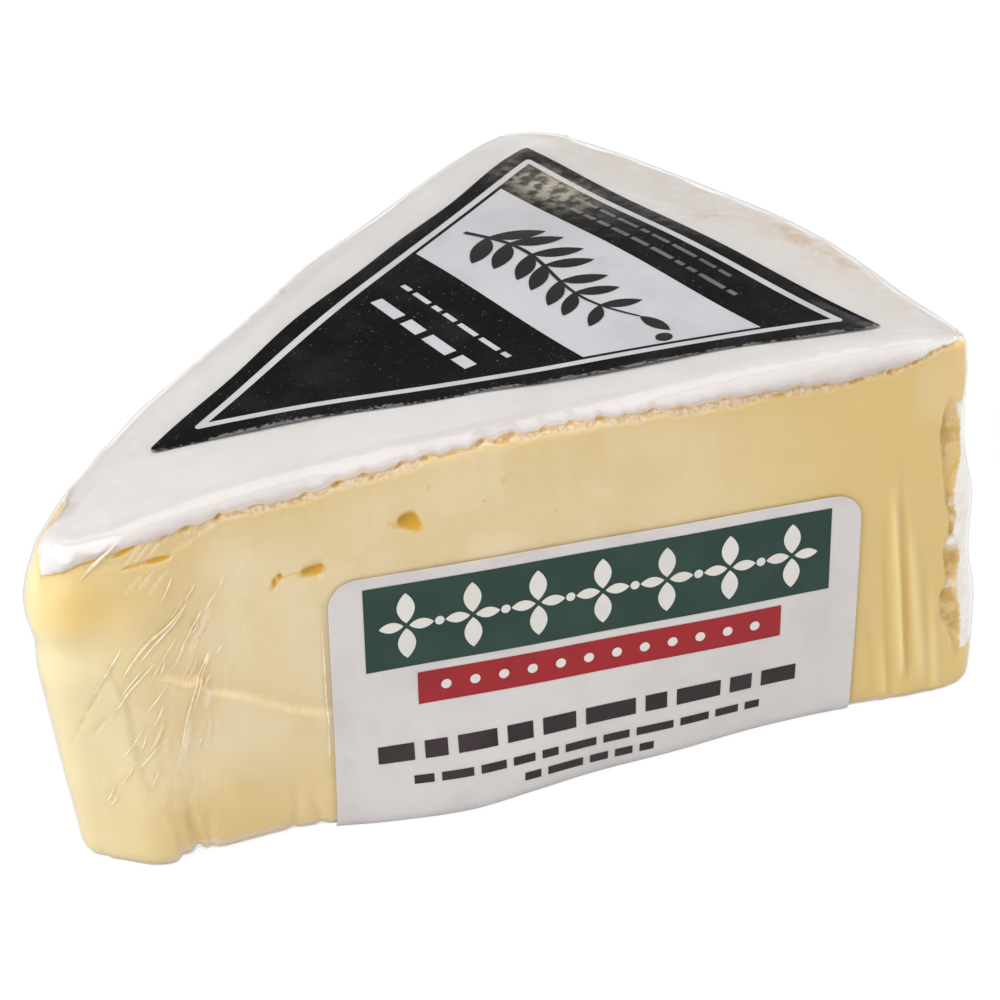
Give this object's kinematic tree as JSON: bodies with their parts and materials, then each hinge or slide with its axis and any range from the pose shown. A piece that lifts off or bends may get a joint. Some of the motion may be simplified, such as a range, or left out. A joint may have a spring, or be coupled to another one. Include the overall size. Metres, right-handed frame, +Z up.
{
  "type": "brie wedge",
  "caption": "Wedge of soft cheese with a white rind, cut from a wheel, in clear film, with a triangular label on top and a plain label on a cut face.",
  "frame": {"origin": "middle of the box's base, on the flat that the wedge rests on", "axes": "+X from the tip to the rim, +Z up through the rind's top; the cut face with the side label looks to -Y"},
  "size_m": [0.1, 0.0746, 0.0452],
  "materials": {
    "cheese": "pale yellow paste and bloomy white rind, satin under clear film",
    "top_label_paper": "black printed paper with a white line and a white band, under clear film",
    "side_label_paper": "white thermal paper, slightly glossy, with green and red printed fields"
  },
  "bodies": {
    "root": {"cheese_wedge": "cheese", "top_label": "top_label_paper", "side_label": "side_label_paper"}
  },
  "joints": []
}
